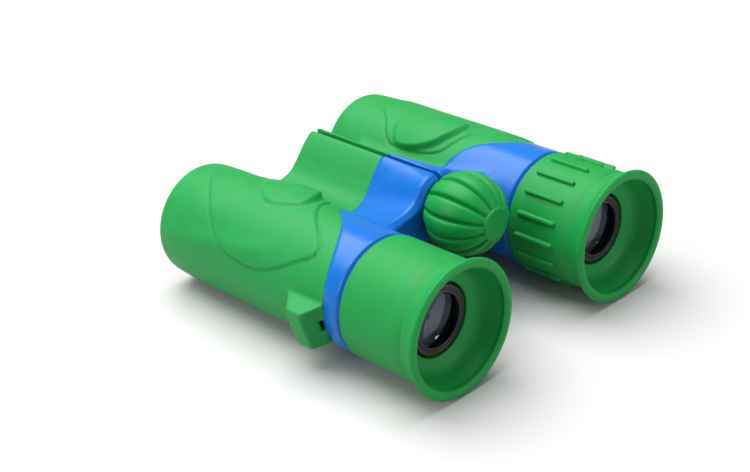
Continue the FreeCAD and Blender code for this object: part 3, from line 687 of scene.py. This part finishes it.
def radialArray(name, unit, count, start, slot):  # one unit mesh repeated round the Y axis, as a plain mesh
    group = bpy.data.node_groups.new(name + "Array", "GeometryNodeTree")
    sockets = {}
    for label, kind in (("Unit", "Geometry"), ("Count", "Int"), ("Start", "Float"), ("Finish", "Material")):
        socket = group.interface.new_socket(label, in_out="INPUT", socket_type="NodeSocket" + kind)
        sockets[label] = socket.identifier
    group.interface.new_socket("Geometry", in_out="OUTPUT", socket_type="NodeSocketGeometry")

    def add(kind, **settings):
        node = group.nodes.new(kind)
        for key, value in settings.items():
            setattr(node, key, value)
        return node

    given, result = add("NodeGroupInput"), add("NodeGroupOutput")
    spots, index = add("GeometryNodePoints"), add("GeometryNodeInputIndex")
    stepNode = add("ShaderNodeMath", operation="DIVIDE")
    stepNode.inputs[0].default_value = 2 * math.pi
    angle = add("ShaderNodeMath", operation="MULTIPLY_ADD")
    euler, copies = add("ShaderNodeCombineXYZ"), add("GeometryNodeInstanceOnPoints")
    real, merge = add("GeometryNodeRealizeInstances"), add("GeometryNodeMergeByDistance")
    merge.inputs["Distance"].default_value = 1e-6
    finish = add("GeometryNodeSetMaterial")
    for a, b in ((given.outputs["Count"], spots.inputs["Count"]),
                 (given.outputs["Count"], stepNode.inputs[1]),
                 (index.outputs[0], angle.inputs[0]),
                 (stepNode.outputs[0], angle.inputs[1]),
                 (given.outputs["Start"], angle.inputs[2]),
                 (angle.outputs[0], euler.inputs["Y"]),
                 (spots.outputs[0], copies.inputs["Points"]),
                 (given.outputs["Unit"], copies.inputs["Instance"]),
                 (euler.outputs[0], copies.inputs["Rotation"]),
                 (copies.outputs[0], real.inputs[0]),
                 (real.outputs[0], merge.inputs[0]),
                 (merge.outputs[0], finish.inputs["Geometry"]),
                 (given.outputs["Finish"], finish.inputs["Material"]),
                 (finish.outputs[0], result.inputs[0])):
        group.links.new(a, b)
    holder = bpy.data.objects.new(name + "Holder", unit)
    bpy.context.scene.collection.objects.link(holder)
    modifier = holder.modifiers.new("array", "NODES")
    modifier.node_group = group
    modifier[sockets["Count"]], modifier[sockets["Start"]] = count, start
    modifier[sockets["Finish"]] = paint[slot]
    bpy.context.view_layer.update()
    made = bpy.data.meshes.new_from_object(holder.evaluated_get(bpy.context.evaluated_depsgraph_get()))
    holder.modifiers.clear()
    bpy.data.objects.remove(holder)
    return made


def moveMesh(mesh, x, station, level):
    mesh.transform(Matrix.Translation(place((x, station, level)).tolist()))


def meshOf(name, points, faces):
    mesh = bpy.data.meshes.new(name)
    mesh.from_pydata((np.asarray(points) * mm).tolist(), [], [tuple(int(i) for i in f) for f in faces])
    return mesh


def joined(name, meshes):
    work = bmesh.new()
    for mesh in meshes:
        work.from_mesh(mesh)
    out = bpy.data.meshes.new(name)
    work.to_mesh(out)
    work.free()
    return out


rib = {"count": 17, "start": 0.295, "rear": 11.5, "front": 25.0, "half": 0.75, "steps": 8,
       "layers": ((16.9, -0.12), (17.42, -0.05), (17.6, 0.05), (18.1, 0.1), (18.3, 0.22), (18.4, 0.46))}


def ribMesh():  # one rounded bar on the cup, in layers (radius, inset) from its foot to its crown
    points, faces = [], []
    for radius, inset in rib["layers"]:
        half = rib["half"] - inset
        for end, sign in ((rib["front"] - rib["half"], 1), (rib["rear"] + rib["half"], -1)):
            for k in range(rib["steps"] + 1):
                a = math.pi * k / rib["steps"]
                across, along = half * math.cos(a) * sign, end + sign * half * math.sin(a)
                points.append((across, along, math.sqrt(radius ** 2 - across ** 2)))
    width = 2 * (rib["steps"] + 1)
    for row in range(len(rib["layers"]) - 1):
        for k in range(width):
            a, b = row * width + k, row * width + (k + 1) % width
            faces.append((a, b, b + width, a + width))
    last = (len(rib["layers"]) - 1) * width
    faces.append(tuple(range(last, last + width)))
    faces.append(tuple(reversed(range(width))))
    return meshOf("rib", points, faces)


def fixNormals(mesh):
    work = bmesh.new()
    work.from_mesh(mesh)
    bmesh.ops.recalc_face_normals(work, faces=work.faces)
    work.to_mesh(mesh)
    work.free()


ribUnit = ribMesh()
fixNormals(ribUnit)
ribs = radialArray("dioptreRibs", ribUnit, rib["count"], rib["start"], "eyecup_green")
moveMesh(ribs, barrelX, 0, 0)
for word, side in sides:
    points, quads = latheMesh(cupOutline, side * barrelX, 0, cup["turns"])
    quads = solidFaces(points, quads)
    cupMesh = meshOf("cup", points, quads)
    cupMesh.transform(Matrix.Translation(place((0, 0, 0)).tolist()))
    body = "left_half" if side < 0 else "dioptre"
    whole = joined(word + "Eyecup", [cupMesh] + ([ribs] if side > 0 else []))
    finishPiece(word + "Eyecup", whole, "eyecup_green", body, word + "_eyecup", cup["sharp"])

ring = {
    "ocular_retainer": ((8.6, 7.7, 0.1), (8.6, 8.35, 0.12), (8.85, 8.45, 0.1), (8.85, 8.9, 0.1),
                        (8.6, 9.0, 0.12), (8.6, 9.75, 0.15), (8.9, 10.0, 0.12), (9.88, 10.0, 0.1),
                        (9.88, 8.98, 0), (10.3, 8.98, 0.1), (10.3, 8.2, 0.1), (9.75, 8.05, 0.08),
                        (9.75, 7.9, 0.08), (9.4, 7.7, 0.1)),
    "objective_bezel": ((99.0, 12.2, 0.1), (99.0, 13.55, 0.1), (101.0, 13.55, 0), (101.0, 13.82, 0),
                        (102.6, 13.82, 0.2), (103.0, 13.4, 0.2), (103.0, 13.0, 0.12), (102.55, 12.95, 0.1),
                        (102.55, 12.6, 0.1), (101.9, 12.55, 0.1), (101.9, 12.35, 0.1), (101.2, 12.2, 0.1)),
}
ringTurns = 128
for word, side in sides:
    for part, outline in ring.items():
        points, quads = latheMesh(roundCorners(outline), side * barrelX, 0, ringTurns)
        body = "right_ocular" if side > 0 and part == "ocular_retainer" else word + "_half"
        name = word + "".join(w.capitalize() for w in part.split("_"))
        addPiece(name, points, quads, "black_plastic", body, word + "_" + part)
print("stage: eyecups, ribs and rings")


# focus knob

knob = {"count": 12, "station": 29.0, "r": 11.85, "rear": 17.9, "front": 36.9, "hubR": 4.6, "capR": 4.1,
        "capFront": 19.4, "depth": 1.15, "groove": 0.5, "crown": 0.3, "rows": 40, "ballEnd": 0.5,
        "hubRoom": 0.02, "capRoom": 0.03, "fadeFrom": 3.4, "fadeOver": 3.0, "sharp": 50.0,
        "shares": (0, 0.2, 0.4, 0.55, 0.68, 0.78, 0.86, 0.92, 0.96, 1.0)}


def petalMesh():  # one sector of the fluted ball, whose sides meet the next sector's in a groove
    half = math.pi / knob["count"]
    shares = np.array(knob["shares"])
    shares = np.concatenate([-shares[:0:-1], shares])
    first = math.asin((knob["rear"] - knob["station"]) / knob["r"])
    last = math.asin((knob["front"] - knob["ballEnd"] - knob["station"]) / knob["r"])
    outline = [(knob["station"] + knob["r"] * math.sin(a), knob["r"] * math.cos(a), 1.0)
               for a in np.linspace(first, last, knob["rows"])]
    ballR, hubR, capR = outline[-1][1], knob["hubR"] + knob["hubRoom"], knob["capR"] + knob["capRoom"]
    outline += [(knob["front"] - 0.12, ballR - 0.35, 0.4), (knob["front"], ballR - 0.8, 0.0),
                (knob["front"], hubR, 0.0), (knob["capFront"], hubR, 0.0), (knob["capFront"], capR, 0.0),
                (knob["rear"] + 0.15, capR, 0.0)]  # station, radius, and how much of the dip it takes
    points, faces = [], []
    for share in shares:
        for station, radius, amount in outline:
            width = (1 - abs(share)) * half * radius
            fade = min(1.0, max(0.0, (radius - knob["fadeFrom"]) / knob["fadeOver"]))
            dip = knob["depth"] * math.exp(-(width / knob["groove"]) ** 2) + knob["crown"] * share ** 2
            own = radius - amount * dip * fade
            points.append((own * math.sin(share * half), station, own * math.cos(share * half)))
    rows = len(outline)
    for i in range(len(shares) - 1):
        for j in range(rows):
            a, b = i * rows + j, i * rows + (j + 1) % rows
            faces.append((a, b, b + rows, a + rows))
    return meshOf("petal", points, faces)


grip = radialArray("focusKnobGrip", petalMesh(), knob["count"], 0.0, "knob_green")
fixNormals(grip)
moveMesh(grip, 0, 0, hingeLevel)
finishPiece("focusKnobGrip", grip, "knob_green", "focus_knob", "knob_grip", knob["sharp"])

cap = {
    "turns": 96,
    "knob": [(17.75, 0.0, 0), (17.72, 2.2, 0.5), (17.7, 4.5, 0.3), (18.0, 4.85, 0.3), (18.7, 4.85, 0.1),
             (18.7, 4.1, 0), (19.4, 4.1, 0.1), (19.4, 0.0, 0)],
    "hinge": [(87.0, 0.0, 0), (87.0, 4.35, 0.1), (88.6, 4.38, 0.25), (88.95, 3.9, 0.3), (89.0, 2.6, 0.2),
              (88.7, 2.4, 0.2), (88.7, 0.0, 0)],
}
points, quads = latheMesh(roundCorners(cap["knob"]), 0, hingeLevel, cap["turns"])
addPiece("focusKnobCap", points, quads, "knob_green", "focus_knob", "knob_cap")
points, quads = latheMesh(roundCorners(cap["hinge"]), 0, hingeLevel, cap["turns"])
addPiece("hingeCap", points, quads, "housing_blue", "left_half", "hinge_cap")
print("stage: knob and hinge cap")


# every CAD node that stays gets its finish

finishes = {part["node"]: part["material_slot"] for part in frame["record"]["subparts"]}
for name, item in nodes.items():
    material = paint[finishes[name]]
    if item.material_slots:
        for entry in item.material_slots:
            entry.material = material
    else:
        item.data.materials.append(material)
